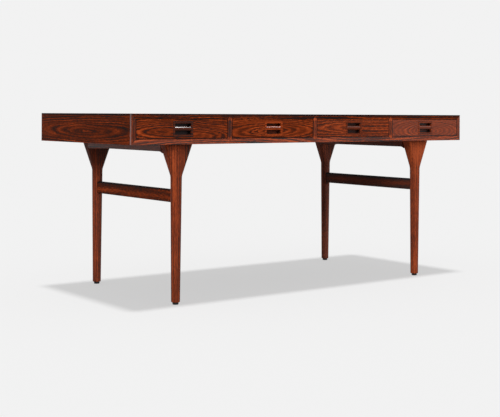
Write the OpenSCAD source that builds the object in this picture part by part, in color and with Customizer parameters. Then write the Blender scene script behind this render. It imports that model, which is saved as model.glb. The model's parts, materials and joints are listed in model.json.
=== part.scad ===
// Writing desk: a shallow case with a row of four drawers, carried by two leg frames.
// The origin is on the floor at the middle of the footprint.
// +X runs to the right along the front, +Y to the back and +Z up. All sizes are in millimetres.

/* [Case] */
// Width of the case, end to end
desk_w = 1800; // [1700:10:2000]
// Depth of the case, front to back
desk_d = 750; // [720:10:850]
// Height of the writing surface above the floor
desk_h = 744; // [720:1:780]
// Height of the case, underside to writing surface
case_h = 118; // [116:1:130]
// Thickness of the top, bottom and end panels
board_t = 20; // [18:0.5:21]
// Thickness of the solid lippings on the front and back edges
lipping_t = 8; // [6:0.5:10]
// Radius on the outer arrises of the front lippings and the case's ends
front_ease = 1; // [0.5:0.25:2]
// Radius on the outer arrises of the back lippings
back_round = 5; // [3:0.5:6]
// Thickness of the dividers between the drawers
divider_t = 19; // [18:0.5:22]
// Depth of the housings that hold the dividers
housing_depth = 5; // [3:0.5:7]
// Thickness of the back panel
back_t = 12; // [9:0.5:15]
// How far the back panel lies in front of the back lippings' inner faces
back_set = 2; // [1:0.5:6]
// Depth of the groove that the back panel sits in
back_groove = 6; // [4:0.5:8]

/* [Mitre splines] */
// Thickness of the splines in the case's mitres
spline_t = 4; // [3:0.5:5]
// Width of a spline across its mitre
spline_w = 11; // [8:0.5:13]
// Distance of a spline from the inner corner of its mitre, measured along the board
spline_in = 8; // [7:0.5:10]
// Distance of a spline's ends from the lippings and the back panel
spline_end = 25; // [15:1:60]

/* [Leg frames] */
// Distance of a leg's axis from the end of the case
leg_inset_x = 240; // [200:5:300]
// Distance of a leg's axis from the front or back of the case
leg_inset_y = 60; // [45:1:90]
// Diameter of a leg where it meets its head
leg_top_d = 45; // [40:0.5:50]
// Diameter of a leg at its foot
leg_foot_d = 35; // [30:0.5:38]
// Radius round the foot of a leg
foot_round = 3; // [1:0.5:5]
// Width of a leg's head where it meets the case
head_w = 128; // [110:1:145]
// Height of a leg's head
head_h = 131; // [100:1:150]
// Corner radius of a leg's head where it meets the case
head_corner = 8; // [3:0.5:12]
// Height over which the leg turns into the slope of its head
head_bend = 14; // [6:1:30]
// Width of a bearer
bearer_w = 120; // [100:1:128]
// Thickness of a bearer
bearer_t = 29; // [24:0.5:36]
// Length of the cove that a bearer's underside has at each head
bearer_cove_len = 18; // [8:1:30]
// Drop of that cove at the head
bearer_cove_drop = 7; // [4:0.5:8]
// Height of the stretcher's underside above the floor
stretcher_z = 397; // [300:1:420]
// Height of a stretcher
stretcher_h = 51; // [44:0.5:60]
// Thickness of a stretcher
stretcher_t = 21; // [18:0.5:26]
// Radius on the long arrises of a stretcher
stretcher_round = 5; // [2:0.5:8]
// Thickness of a stretcher's tenon
tenon_t = 9; // [7:0.5:12]
// Height of a stretcher's tenon
tenon_h = 35; // [28:0.5:40]
// Length of a tenon past the leg's inner face
tenon_len = 24; // [18:0.5:30]
// Diameter of a floor glide
glide_d = 24; // [20:0.5:28]
// Height of a floor glide
glide_h = 9; // [6:0.5:12]
// Diameter of a glide's pin
glide_pin_d = 5; // [4:0.5:6]
// Length of a glide's pin
glide_pin_len = 22; // [16:0.5:30]

/* [Dowels and screws] */
// Diameter of the dowels between bearers and heads
dowel_d = 10; // [8:0.5:12]
// Depth of a dowel in the head, and again in the bearer
dowel_half = 26; // [20:0.5:32]
// Distance between the two dowels of a joint
dowel_spacing = 64; // [50:1:80]
// Diameter of the shank of a bearer screw
bearer_screw_d = 6; // [5:0.5:8]
// Diameter of the head of a bearer screw
bearer_screw_head_d = 12; // [10:0.5:14]
// Height of the head of a bearer screw
bearer_screw_head_h = 4; // [3:0.5:6]
// Depth of the counterbore above the bearer's underside, head included
bearer_screw_sink = 9; // [7:0.5:12]
// Depth of a bearer screw in the case's bottom panel
bearer_screw_bite = 14; // [10:0.5:16]
// Distance between neighbouring bearer screws
bearer_screw_spacing = 180; // [140:5:200]
// Width of the slot in the head of a bearer screw
screw_slot_w = 1.2; // [1:0.1:2]
// Depth of the slot in the head of a bearer screw
screw_slot_depth = 1.5; // [1:0.1:2.5]
// Diameter of the shank of a runner screw
runner_screw_d = 3.5; // [3:0.5:4.5]
// Diameter of the head of a runner screw
runner_screw_head_d = 7; // [6:0.5:8]
// Height of the head of a runner screw
runner_screw_head_h = 2.5; // [2:0.25:3]
// Depth of a runner screw in the divider or end panel
runner_screw_bite = 8; // [6:0.25:8.5]
// Distance of the outer runner screws from the runner's ends
runner_screw_end = 60; // [30:5:100]

/* [Drawers] */
// Gap all round a drawer front
front_gap = 1.5; // [1:0.25:2.5]
// Thickness of a drawer front
front_t = 20; // [18:0.5:22]
// How far a drawer front lies behind the front of the case
front_set = 1; // [0.5:0.25:2]
// Length of a drawer, front to back
drawer_len = 600; // [560:5:620]
// How far a drawer opens
drawer_travel = 420; // [300:5:430]
// Thickness of a drawer side
side_t = 12; // [11:0.5:14]
// Height of a drawer side
side_h = 66; // [60:1:68]
// Gap under a drawer side
side_lift = 4; // [3:0.5:4.5]
// Gap between a drawer side and the divider beside it
side_gap = 2; // [1:0.25:3]
// Thickness of a drawer back
drawer_back_t = 12; // [10:0.5:14]
// How far a drawer back stays below the sides
drawer_back_drop = 2; // [1:0.5:3]
// Thickness of a drawer bottom
drawer_bottom_t = 5; // [4:0.5:5.5]
// Height of a drawer bottom above the lower edge of the sides
drawer_bottom_rise = 6; // [4:0.5:6]
// Depth of the groove that a drawer bottom sits in
drawer_bottom_groove = 4; // [3:0.5:4]
// Number of dovetails at each corner of a drawer
tail_count = 3; // [2:1:3]
// Width of a dovetail at its root
tail_root = 13; // [12:0.5:15]
// Spread of a dovetail's flank, sideways per unit of length
tail_slope = 0.16; // [0.1:0.01:0.18]
// Length of the dovetails in a drawer front
tail_len = 12; // [10:0.5:14]

/* [Runners and stops] */
// Height of a runner
runner_h = 12; // [10:0.5:14]
// Width of a runner, out from the divider
runner_w = 9; // [8:0.25:9]
// Height of a runner's middle above the lower edge of the drawer side
runner_rise = 33; // [30:0.5:36]
// Clearance above and below a runner, and before its front end
runner_fit = 0.3; // [0.2:0.05:0.5]
// Clearance between a runner and the bottom of its groove
runner_side_fit = 0.5; // [0.3:0.05:1]
// Distance from the drawer front to the front end of the grooves
runner_start = 12; // [6:1:30]
// How far a runner reaches behind the closed drawer
runner_tail = 10; // [0:1:40]
// Width of a drawer stop
stop_w = 46; // [30:1:80]
// Thickness of a drawer stop, front to back
stop_t = 18; // [12:1:24]
// Clearance between a stop and the back of the open drawer
stop_fit = 0.5; // [0.3:0.1:1]
// How far a drawer stop reaches below the top edge of a drawer back
stop_catch = 4; // [3:0.5:6]

/* [Pulls] */
// Width of a pull
pull_w = 92; // [84:1:110]
// Height of a pull
pull_h = 61; // [58:0.5:64]
// How far a pull stands proud of its drawer front
pull_proud = 1; // [0.5:0.25:1]
// Width of the rim round a pull's recess
pull_rim = 8.5; // [7:0.5:10]
// Thickness of the wood behind a pull's recess
pull_wall = 4; // [3:0.5:5]
// Corner radius of a pull's recess
recess_corner = 3; // [2:0.5:5]
// Height of the bar across the recess
bar_h = 17; // [14:0.5:19]
// Thickness of the bar, front to back
bar_t = 9; // [9:0.5:12]
// Radius on the front arrises of the bar
bar_front_round = 6; // [4:0.5:6]
// Radius on the back arrises of the bar
bar_back_round = 2.5; // [1:0.5:3]
// Height of the bar's middle above the middle of the pull
bar_rise = 1.5; // [0:0.5:3]
// How far the bar lies behind the front of the pull
bar_set = 0.5; // [0:0.25:2]

/* [Hidden] */

// Round surfaces of turned, drilled and eased pieces
$fn = 64;
// Overshoot of a cut past the face that it opens
cut = 1;
// Rings up the height of a leg's head, and points in each quarter of a ring
head_rings = 9;
head_steps = 8;
// Flat between the corner arcs of a head's lowest ring
head_flat = leg_top_d / 150;
// Points in the arc round a leg's foot
foot_steps = 5;

bay_count = 4;

// Signs of the sides along X, Y and Z
left = -1;
right = 1;
front = -1;
back = 1;
below = -1;
above = 1;

// Planes of the case
half_w = desk_w / 2;
front_y = -desk_d / 2;
back_y = desk_d / 2;
case_z = desk_h - case_h;
bay_z = case_z + board_t;
bay_top = desk_h - board_t;
core_front = front_y + lipping_t;
core_back = back_y - lipping_t;
back_panel_y = core_back - back_set - back_t;

// Bays between the ends and the dividers
bay_w = (desk_w - 2 * board_t - (bay_count - 1) * divider_t) / bay_count;
bay_pitch = bay_w + divider_t;
function bay_left(n) = -half_w + board_t + (n - 1) * bay_pitch;
function bay_x(n) = bay_left(n) + bay_w / 2;
function divider_x(n) = bay_left(n) + bay_w + divider_t / 2;

// Leg frames
leg_x = half_w - leg_inset_x;
leg_y = desk_d / 2 - leg_inset_y;
head_z = case_z - head_h;
head_half_t = leg_top_d / 2;
head_spread = (head_w - leg_top_d) / 2;
head_slope = head_spread / (head_h - head_bend / 2);
bearer_z = case_z - bearer_t;
bearer_half_len = leg_y - head_half_t;
bearer_cove_r = (bearer_cove_len * bearer_cove_len + bearer_cove_drop * bearer_cove_drop)
    / (2 * bearer_cove_drop);
tenon_z = stretcher_z + (stretcher_h - tenon_h) / 2;
bearer_screw_seat = bearer_z + bearer_screw_sink;
bearer_screw_rows = [-bearer_screw_spacing, 0, bearer_screw_spacing];

// Radius of a leg at a height above the floor
function leg_r(z) = leg_foot_d / 2 + (leg_top_d - leg_foot_d) / 2 * (z - glide_h) / (head_z - glide_h);
// Distance from a leg's axis to the far end of a tenon, past the axis when negative
tenon_end = leg_r(stretcher_z) - tenon_len;

// Drawers, runners and stops
drawer_y = front_y + front_set;
box_y = drawer_y + front_t;
drawer_end = drawer_y + drawer_len;
side_z = bay_z + side_lift;
side_len = drawer_end - box_y;
bottom_z = side_z + drawer_bottom_rise;
drawer_back_z = bottom_z + drawer_bottom_t;
drawer_back_top = side_z + side_h - drawer_back_drop;
drawer_back_y = drawer_end - drawer_back_t;
groove_y = box_y + runner_start;
groove_depth = runner_w - side_gap + runner_side_fit;
runner_z = side_z + runner_rise - runner_h / 2;
runner_y = groove_y + runner_fit;
runner_end = drawer_end + runner_tail;
stop_back_y = drawer_back_y - drawer_travel - stop_fit;
stop_z = drawer_back_top - stop_catch;

// Pulls
pull_y = drawer_y - pull_proud;
pull_z = (bay_z + bay_top) / 2;
pull_d = front_t + pull_proud;
recess_d = pull_d - pull_wall;
recess_w = pull_w - 2 * pull_rim;
recess_h = pull_h - 2 * pull_rim;

rosewood = [0.42, 0.18, 0.11];
dark_rosewood = [0.30, 0.13, 0.09];
light_rosewood = [0.52, 0.24, 0.13];
drawer_wood = [0.76, 0.60, 0.40];
beech = [0.80, 0.64, 0.45];
black = [0.06, 0.06, 0.06];
steel = [0.62, 0.62, 0.60];

// A profile drawn in X and Z, swept from y0 to y1
module sweep_y(y0, y1) {
    translate([0, y1, 0]) rotate([90, 0, 0]) linear_extrude(y1 - y0) children();
}

// A profile drawn in Y and Z, swept from x0 to x1
module sweep_x(x0, x1) {
    translate([x0, 0, 0]) rotate([90, 0, 90]) linear_extrude(x1 - x0) children();
}

// A profile drawn in X and Y, swept from z0 to z1
module sweep_z(z0, z1) {
    translate([0, 0, z0]) linear_extrude(z1 - z0) children();
}

// A box from its lowest to its highest corner
module block(low, high) {
    translate(low) cube(high - low);
}

// A rectangle from low to high with four round corners
module round_rect(low, high, r) {
    translate([low[0] + r, low[1]]) square([high[0] - low[0] - 2 * r, high[1] - low[1]]);
    translate([low[0], low[1] + r]) square([high[0] - low[0], high[1] - low[1] - 2 * r]);
    for (x = [low[0] + r, high[0] - r], y = [low[1] + r, high[1] - r]) translate([x, y]) circle(r);
}

// Front view of the board that closes the case at the top, cut to its mitres
module top_outline() {
    polygon([
        [-half_w, desk_h], [half_w, desk_h],
        [half_w - board_t, bay_top], [-half_w + board_t, bay_top]
    ]);
}

// Front view of the board that closes the case at the bottom
module bottom_outline() {
    polygon([
        [-half_w, case_z], [half_w, case_z],
        [half_w - board_t, bay_z], [-half_w + board_t, bay_z]
    ]);
}

// Front view of the board that closes the case at one end
module end_outline(side) {
    polygon([
        [side * half_w, case_z], [side * half_w, desk_h],
        [side * (half_w - board_t), bay_top], [side * (half_w - board_t), bay_z]
    ]);
}

// Front view of the whole case with its eased corners
module eased_case() {
    round_rect([-half_w, case_z], [half_w, desk_h], front_ease);
}

// A board of the case, between the front and the back lippings
module case_board() {
    sweep_y(core_front, core_back) intersection() {
        children();
        eased_case();
    }
}

// A divider with the parts of it that stand in its housings
module divider_body(n) {
    block(
        [divider_x(n) - divider_t / 2, core_front, bay_z - housing_depth],
        [divider_x(n) + divider_t / 2, back_panel_y, bay_top + housing_depth]
    );
}

module divider_bodies() {
    for (n = [1 : bay_count - 1]) divider_body(n);
}

module back_body() {
    block(
        [-half_w + board_t - back_groove, back_panel_y, bay_z - back_groove],
        [half_w - board_t + back_groove, back_panel_y + back_t, bay_top + back_groove]
    );
}

// Splines lie square across the mitres, one at each corner of the case
module spline_bodies() {
    for (side = [left, right], up = [below, above])
        translate([
            side * (half_w - board_t + spline_in),
            core_front + spline_end,
            (case_z + desk_h) / 2 + up * (case_h / 2 - board_t + spline_in)
        ])
            rotate([0, side * up * 45, 0])
                translate([-spline_w / 2, 0, -spline_t / 2])
                    cube([spline_w, back_panel_y - core_front - 2 * spline_end, spline_t]);
}

module bearer_screw_shanks() {
    for (side = [left, right], y = bearer_screw_rows)
        translate([side * leg_x, y, bearer_screw_seat])
            cylinder(d = bearer_screw_d, h = case_z + bearer_screw_bite - bearer_screw_seat);
}

module top_panel() {
    color(rosewood) difference() {
        case_board() top_outline();
        divider_bodies();
        back_body();
        spline_bodies();
    }
}

module bottom_panel() {
    color(rosewood) difference() {
        case_board() bottom_outline();
        divider_bodies();
        back_body();
        spline_bodies();
        bearer_screw_shanks();
    }
}

module end_panel(side) {
    color(rosewood) difference() {
        case_board() end_outline(side);
        back_body();
        spline_bodies();
        if (side == left) runner_screw_set(1, left);
        if (side == right) runner_screw_set(bay_count, right);
    }
}

module back_panel() {
    color(rosewood) back_body();
}

module divider(n) {
    color(rosewood) difference() {
        divider_body(n);
        runner_screw_set(n, right);
        runner_screw_set(n + 1, left);
    }
}

// Front view of a divider's lipping, with its two points
module divider_lipping_outline(n) {
    x = divider_x(n);
    r = divider_t / 2;
    polygon([
        [x - r, bay_z], [x, bay_z - r], [x + r, bay_z],
        [x + r, bay_top], [x, bay_top + r], [x - r, bay_top]
    ]);
}

module divider_lippings() {
    color(light_rosewood) for (n = [1 : bay_count - 1])
        sweep_y(front_y, core_front) divider_lipping_outline(n);
}

// Side view of the case's front edge layer, with its eased arrises
module front_layer() {
    translate([front_y + front_ease, case_z]) square([lipping_t - front_ease, case_h]);
    translate([front_y, case_z + front_ease]) square([lipping_t, case_h - 2 * front_ease]);
    for (z = [case_z + front_ease, desk_h - front_ease])
        translate([front_y + front_ease, z]) circle(front_ease);
}

// Top view of the case's front edge layer
module front_layer_plan() {
    translate([-half_w + front_ease, front_y]) square([desk_w - 2 * front_ease, lipping_t]);
    translate([-half_w, front_y + front_ease]) square([desk_w, lipping_t - front_ease]);
    for (x = [-half_w + front_ease, half_w - front_ease])
        translate([x, front_y + front_ease]) circle(front_ease);
}

module front_lipping_across() {
    color(rosewood) intersection() {
        sweep_y(front_y, core_front) difference() {
            intersection() {
                children();
                eased_case();
            }
            for (n = [1 : bay_count - 1]) divider_lipping_outline(n);
        }
        sweep_x(-half_w, half_w) front_layer();
    }
}

module front_lipping_upright(side) {
    color(rosewood) intersection() {
        sweep_y(front_y, core_front) intersection() {
            end_outline(side);
            eased_case();
        }
        sweep_z(case_z, desk_h) front_layer_plan();
    }
}

// Side view of the case's back edge layer, with its rounded arrises
module back_layer() {
    translate([core_back, case_z]) square([lipping_t - back_round, case_h]);
    translate([core_back, case_z + back_round]) square([lipping_t, case_h - 2 * back_round]);
    for (z = [case_z + back_round, desk_h - back_round])
        translate([back_y - back_round, z]) circle(back_round);
}

// Top view of the case's back edge layer
module back_layer_plan() {
    translate([-half_w + back_round, core_back]) square([desk_w - 2 * back_round, lipping_t]);
    translate([-half_w, core_back]) square([desk_w, lipping_t - back_round]);
    for (x = [-half_w + back_round, half_w - back_round])
        translate([x, back_y - back_round]) circle(back_round);
}

module back_lipping_across() {
    color(dark_rosewood) intersection() {
        sweep_y(core_back, back_y) intersection() {
            children();
            eased_case();
        }
        sweep_x(-half_w, half_w) back_layer();
    }
}

module back_lipping_upright(side) {
    color(dark_rosewood) intersection() {
        sweep_y(core_back, back_y) intersection() {
            end_outline(side);
            eased_case();
        }
        sweep_z(case_z, desk_h) back_layer_plan();
    }
}

module mitre_splines() {
    color(beech) spline_bodies();
}

// Height of a ring of a leg's head, as a share of the head
function ring_share(k) = k / head_rings;
// Sideways growth of the head at a height above its root: a bend, then a straight slope
function head_growth(v) =
    v < head_bend ? head_slope * v * v / (2 * head_bend) : head_slope * (v - head_bend / 2);
// Corner radius of the head, from the round leg to the nearly square top
function head_r(s) = (1 - s) * (head_half_t - 2 * head_flat) + s * head_corner;
// Half thickness of the head, drawn in by a hair where it stands on the round leg
function head_half_y(s) = s == 0 ? head_half_t - head_flat : head_half_t;
function head_half_x(s) =
    s == 0 ? head_half_t - head_flat : head_half_t + head_growth(s * head_h);

// Points of one ring of the head
function head_ring(s) = [
    for (q = [0 : 3], k = [0 : head_steps])
        let (
            a = 90 * q + 90 * k / head_steps,
            x = head_half_x(s) - head_r(s),
            y = head_half_y(s) - head_r(s),
            sx = q == 0 || q == 3 ? 1 : -1,
            sy = q < 2 ? 1 : -1
        )
        [sx * x + head_r(s) * cos(a), sy * y + head_r(s) * sin(a), s * head_h]
];

// The flared head of a leg, standing on the round leg at the origin
module head_body() {
    n = 4 * (head_steps + 1);
    points = [for (k = [0 : head_rings]) each head_ring(ring_share(k))];
    bottom = [[for (i = [0 : n - 1]) i]];
    top = [[for (i = [n - 1 : -1 : 0]) head_rings * n + i]];
    walls = [
        for (k = [0 : head_rings - 1], i = [0 : n - 1])
            let (j = (i + 1) % n, a = k * n, b = a + n)
            each [[a + i, b + i, b + j], [a + i, b + j, a + j]]
    ];
    polyhedron(points, concat(bottom, top, walls), convexity = 4);
}

// The round tapering part of a leg, without its joints
module leg_shaft() {
    foot_r = leg_foot_d / 2;
    rotate_extrude() polygon(concat(
        [[0, glide_h]],
        [
            for (k = [0 : foot_steps])
                let (a = -90 + 90 * k / foot_steps)
                [foot_r - foot_round + foot_round * cos(a), glide_h + foot_round + foot_round * sin(a)]
        ],
        [[leg_top_d / 2, head_z], [0, head_z]]
    ));
}

module at_legs() {
    for (x = [-leg_x, leg_x], y = [-leg_y, leg_y]) translate([x, y, 0]) children();
}

// The tenons of one stretcher, drawn as the tongue that runs through it from end to end
module tenon_body(side) {
    block(
        [side * leg_x - tenon_t / 2, -leg_y + tenon_end, tenon_z],
        [side * leg_x + tenon_t / 2, leg_y - tenon_end, tenon_z + tenon_h]
    );
}

module dowel_bodies(side) {
    for (end = [front, back], k = [left, right])
        translate([
            side * leg_x + k * dowel_spacing / 2,
            end * bearer_half_len - dowel_half,
            case_z - bearer_t / 2
        ])
            rotate([-90, 0, 0]) cylinder(d = dowel_d, h = 2 * dowel_half);
}

module leg(side, end) {
    color(rosewood) difference() {
        translate([side * leg_x, end * leg_y, 0]) union() {
            leg_shaft();
            translate([0, 0, head_z]) head_body();
        }
        tenon_body(side);
        dowel_bodies(side);
        translate([side * leg_x, end * leg_y, glide_h - cut])
            cylinder(d = glide_pin_d, h = glide_pin_len + cut);
    }
}

// Side view of a bearer's cove at the back head, drawn from the bearer's underside down
module cove_outline() {
    start = bearer_half_len - bearer_cove_len;
    difference() {
        translate([start, bearer_z - bearer_cove_drop])
            square([bearer_cove_len, bearer_cove_drop + cut]);
        translate([start, bearer_z - bearer_cove_r]) circle(bearer_cove_r);
    }
}

// Half width of a head at a height above the floor
function head_half_at(z) = head_half_t + head_growth(z - head_z);

module bearer(side) {
    low_z = bearer_z - bearer_cove_drop;
    low = head_half_at(low_z);
    high = min(head_half_at(bearer_z + cut), bearer_w / 2);
    color(dark_rosewood) difference() {
        union() {
            block(
                [side * leg_x - bearer_w / 2, -bearer_half_len, bearer_z],
                [side * leg_x + bearer_w / 2, bearer_half_len, case_z]
            );
            for (end = [front, back]) intersection() {
                scale([1, end, 1]) sweep_x(side * leg_x - bearer_w / 2, side * leg_x + bearer_w / 2)
                    cove_outline();
                translate([side * leg_x, 0, 0]) sweep_y(-leg_y, leg_y) polygon([
                    [-low, low_z], [low, low_z], [high, bearer_z + cut], [-high, bearer_z + cut]
                ]);
            }
        }
        dowel_bodies(side);
        bearer_screw_shanks();
        for (y = bearer_screw_rows) translate([side * leg_x, y, bearer_z - cut])
            cylinder(d = bearer_screw_head_d, h = bearer_screw_sink + cut);
    }
}

module stretcher(side) {
    half = stretcher_t / 2;
    color(rosewood) union() {
        difference() {
            translate([side * leg_x, 0, 0]) sweep_y(-leg_y, leg_y)
                round_rect([-half, stretcher_z], [half, stretcher_z + stretcher_h], stretcher_round);
            at_legs() leg_shaft();
        }
        tenon_body(side);
    }
}

module bearer_dowels() {
    color(beech) {
        dowel_bodies(left);
        dowel_bodies(right);
    }
}

// Places of the undersides of the bearer screws' heads
module at_bearer_screw_heads() {
    for (side = [left, right], y = bearer_screw_rows)
        translate([side * leg_x, y, bearer_screw_seat - bearer_screw_head_h]) children();
}

module bearer_screws() {
    color(steel) difference() {
        union() {
            bearer_screw_shanks();
            at_bearer_screw_heads() cylinder(d = bearer_screw_head_d, h = bearer_screw_head_h);
        }
        at_bearer_screw_heads()
            cube([bearer_screw_head_d + cut, screw_slot_w, 2 * screw_slot_depth], center = true);
    }
}

module floor_glides() {
    color(black) at_legs() {
        cylinder(d = glide_d, h = glide_h);
        cylinder(d = glide_pin_d, h = glide_h + glide_pin_len);
    }
}

// Where the wall beside a drawer stands, on its left or its right
function wall_x(n, side) = bay_x(n) + side * bay_w / 2;

module runner_body(n, side) {
    wall = wall_x(n, side);
    inner = wall - side * runner_w;
    block(
        [min(wall, inner), runner_y, runner_z],
        [max(wall, inner), runner_end, runner_z + runner_h]
    );
}

// Screws of one runner: the head lies flush with the runner, the shank points into the wall
module runner_screw_set(n, side) {
    inner = wall_x(n, side) - side * runner_w;
    ends = [runner_y + runner_screw_end, runner_end - runner_screw_end];
    for (y = [ends[0], (ends[0] + ends[1]) / 2, ends[1]])
        translate([inner, y, runner_z + runner_h / 2]) rotate([0, side * 90, 0]) {
            cylinder(d = runner_screw_head_d, h = runner_screw_head_h);
            cylinder(d = runner_screw_d, h = runner_w + runner_screw_bite);
        }
}

module runners(side) {
    color(beech) difference() {
        for (n = [1 : bay_count]) runner_body(n, side);
        for (n = [1 : bay_count]) runner_screw_set(n, side);
    }
}

module runner_screws() {
    color(steel) for (n = [1 : bay_count], side = [left, right]) runner_screw_set(n, side);
}

module drawer_stops() {
    color(beech) for (n = [1 : bay_count])
        block(
            [bay_x(n) - stop_w / 2, stop_back_y - stop_t, stop_z],
            [bay_x(n) + stop_w / 2, stop_back_y, bay_top]
        );
}

// Height of the middle of one dovetail
function tail_z(k) = side_z + side_h * (k + 0.5) / tail_count;

// Side view of the dovetails that spread from y0 to y1, rooted a little behind y0
module tail_outlines(y0, y1) {
    root = tail_root / 2;
    tip = root + abs(y1 - y0) * tail_slope;
    inside = y0 - sign(y1 - y0) * cut;
    for (k = [0 : tail_count - 1]) polygon([
        [inside, tail_z(k) - root], [y0, tail_z(k) - root], [y1, tail_z(k) - tip],
        [y1, tail_z(k) + tip], [y0, tail_z(k) + root], [inside, tail_z(k) + root]
    ]);
}

// Side view of the pins that stand between the tails at the back of a drawer
module back_pin_outlines() {
    difference() {
        translate([drawer_back_y, drawer_back_z])
            square([drawer_back_t, drawer_back_top - drawer_back_z]);
        tail_outlines(drawer_back_y, drawer_end);
    }
}

// Sweeps a side view through the thickness of a drawer side
module through_side(n, side) {
    outer = wall_x(n, side) - side * side_gap;
    inner = outer - side * side_t;
    sweep_x(min(outer, inner), max(outer, inner)) children();
}

module runner_groove(n, side) {
    outer = wall_x(n, side) - side * side_gap;
    inner = outer - side * groove_depth;
    block(
        [min(outer + side * cut, inner), groove_y, runner_z - runner_fit],
        [max(outer + side * cut, inner), drawer_end + cut, runner_z + runner_h + runner_fit]
    );
}

module drawer_bottom_body(n) {
    half = bay_w / 2 - side_gap - side_t + drawer_bottom_groove;
    block(
        [bay_x(n) - half, box_y - drawer_bottom_groove, bottom_z],
        [bay_x(n) + half, drawer_end, bottom_z + drawer_bottom_t]
    );
}

module pull_block(n) {
    block(
        [bay_x(n) - pull_w / 2, pull_y, pull_z - pull_h / 2],
        [bay_x(n) + pull_w / 2, pull_y + pull_d, pull_z + pull_h / 2]
    );
}

module drawer_front(n) {
    color(rosewood) difference() {
        block(
            [bay_left(n) + front_gap, drawer_y, bay_z + front_gap],
            [bay_left(n) + bay_w - front_gap, box_y, bay_top - front_gap]
        );
        for (side = [left, right]) through_side(n, side) tail_outlines(box_y, box_y - tail_len);
        drawer_bottom_body(n);
        pull_block(n);
    }
}

// Side view of the bar: a rail with a round front
module bar_outline() {
    near = pull_y + bar_set;
    rear = near + bar_t;
    low = pull_z + bar_rise - bar_h / 2;
    high = low + bar_h;
    translate([near + bar_front_round, low])
        square([bar_t - bar_front_round - bar_back_round, bar_h]);
    translate([near, low + bar_front_round]) square([bar_front_round, bar_h - 2 * bar_front_round]);
    translate([rear - bar_back_round, low + bar_back_round])
        square([bar_back_round, bar_h - 2 * bar_back_round]);
    for (z = [low + bar_front_round, high - bar_front_round]) intersection() {
        translate([near + bar_front_round, z]) circle(bar_front_round);
        translate([near, low]) square([bar_front_round, bar_h]);
    }
    for (z = [low + bar_back_round, high - bar_back_round]) intersection() {
        translate([rear - bar_back_round, z]) circle(bar_back_round);
        translate([rear - bar_back_round, low]) square([bar_back_round, bar_h]);
    }
}

module drawer_pull(n) {
    x = bay_x(n);
    color(light_rosewood) union() {
        difference() {
            pull_block(n);
            sweep_y(pull_y - cut, pull_y + recess_d) round_rect(
                [x - recess_w / 2, pull_z - recess_h / 2],
                [x + recess_w / 2, pull_z + recess_h / 2],
                recess_corner
            );
            drawer_bottom_body(n);
        }
        sweep_x(x - recess_w / 2 - cut, x + recess_w / 2 + cut) bar_outline();
    }
}

module drawer_side(n, side) {
    color(drawer_wood) difference() {
        union() {
            through_side(n, side) translate([box_y, side_z]) square([side_len, side_h]);
            through_side(n, side) tail_outlines(box_y, box_y - tail_len);
        }
        through_side(n, side) back_pin_outlines();
        runner_groove(n, side);
        drawer_bottom_body(n);
    }
}

module drawer_back(n) {
    half = bay_w / 2 - side_gap - side_t;
    color(drawer_wood) difference() {
        union() {
            block(
                [bay_x(n) - half, drawer_back_y, drawer_back_z],
                [bay_x(n) + half, drawer_end, drawer_back_top]
            );
            for (side = [left, right]) through_side(n, side) back_pin_outlines();
        }
        for (side = [left, right]) runner_groove(n, side);
    }
}

module drawer_bottom(n) {
    color(beech) drawer_bottom_body(n);
}

top_panel();
bottom_panel();
end_panel(left);  // left_end_panel
end_panel(right);  // right_end_panel
back_panel();
for (n = [1 : bay_count - 1])
    divider(n);
front_lipping_across() top_outline();  // top_front_lipping
front_lipping_across() bottom_outline();  // bottom_front_lipping
front_lipping_upright(left);  // left_front_lipping
front_lipping_upright(right);  // right_front_lipping
divider_lippings();
back_lipping_across() top_outline();  // top_back_lipping
back_lipping_across() bottom_outline();  // bottom_back_lipping
back_lipping_upright(left);  // left_back_lipping
back_lipping_upright(right);  // right_back_lipping
mitre_splines();
runners(left);  // left_runners
runners(right);  // right_runners
runner_screws();
drawer_stops();
leg(left, front);  // front_left_leg
leg(right, front);  // front_right_leg
leg(left, back);  // back_left_leg
leg(right, back);  // back_right_leg
bearer(left);  // left_bearer
bearer(right);  // right_bearer
stretcher(left);  // left_stretcher
stretcher(right);  // right_stretcher
bearer_dowels();
bearer_screws();
floor_glides();
for (n = [1 : bay_count]) {
    drawer_front(n);
    drawer_pull(n);
    drawer_side(n, left);
    drawer_side(n, right);
    drawer_back(n);
    drawer_bottom(n);
}
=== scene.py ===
import json
import math

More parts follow.
